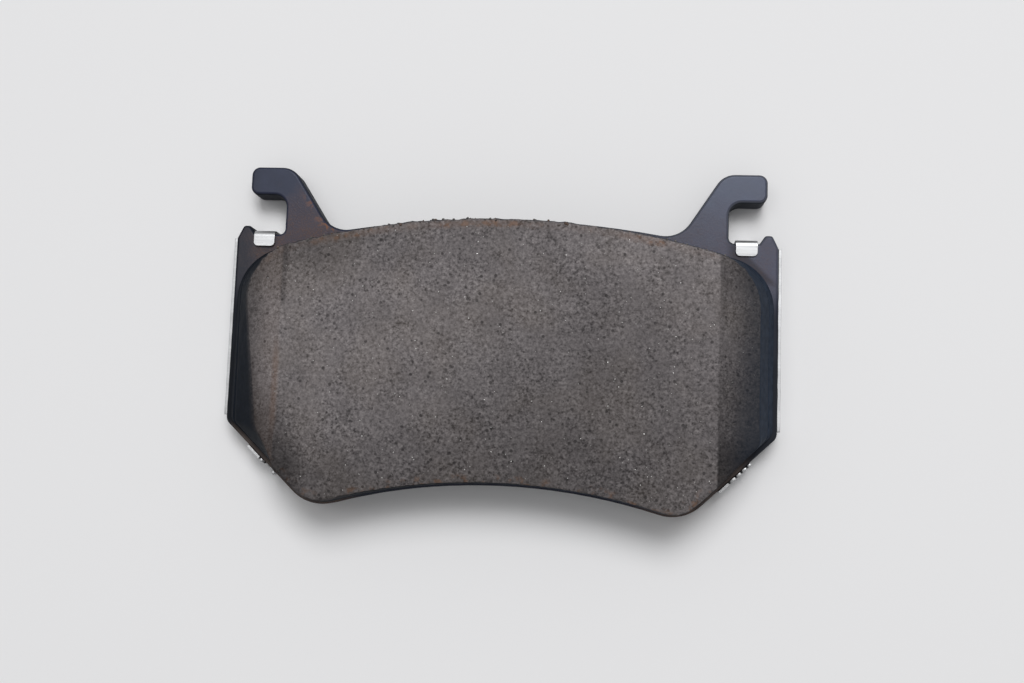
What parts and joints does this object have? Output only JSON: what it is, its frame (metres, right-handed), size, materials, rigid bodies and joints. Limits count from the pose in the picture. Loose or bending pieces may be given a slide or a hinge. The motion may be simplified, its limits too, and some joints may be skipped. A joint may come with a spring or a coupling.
{
  "type": "disc brake pad",
  "caption": "Disc brake pad: black steel plate with two hanging hooks, moulded friction block with chamfered ends, and a clip-on steel shim.",
  "frame": {"origin": "middle of the pad's width and height, on the rear face of the outer shim, where the pistons push", "axes": "+X along the pad's length, +Y away from the wheel axis towards the hooks, +Z at the disc"},
  "size_m": [0.1316, 0.081, 0.0166],
  "materials": {
    "plate_coating": "satin",
    "cured_adhesive": "satin",
    "underlayer_compound": "matte",
    "friction_compound": "matte",
    "shim_glue": "satin",
    "shim_rubber": "matte",
    "core_steel": "satin",
    "spring_steel": "satin"
  },
  "bodies": {
    "root": {"backing_plate": "plate_coating", "bonding_film": "cured_adhesive", "underlayer": "underlayer_compound", "friction_lining": "friction_compound", "shim_adhesive": "shim_glue", "shim_front_rubber": "shim_rubber", "shim_core": "core_steel", "shim_rear_rubber": "shim_rubber", "outer_shim": "spring_steel"}
  },
  "joints": []
}
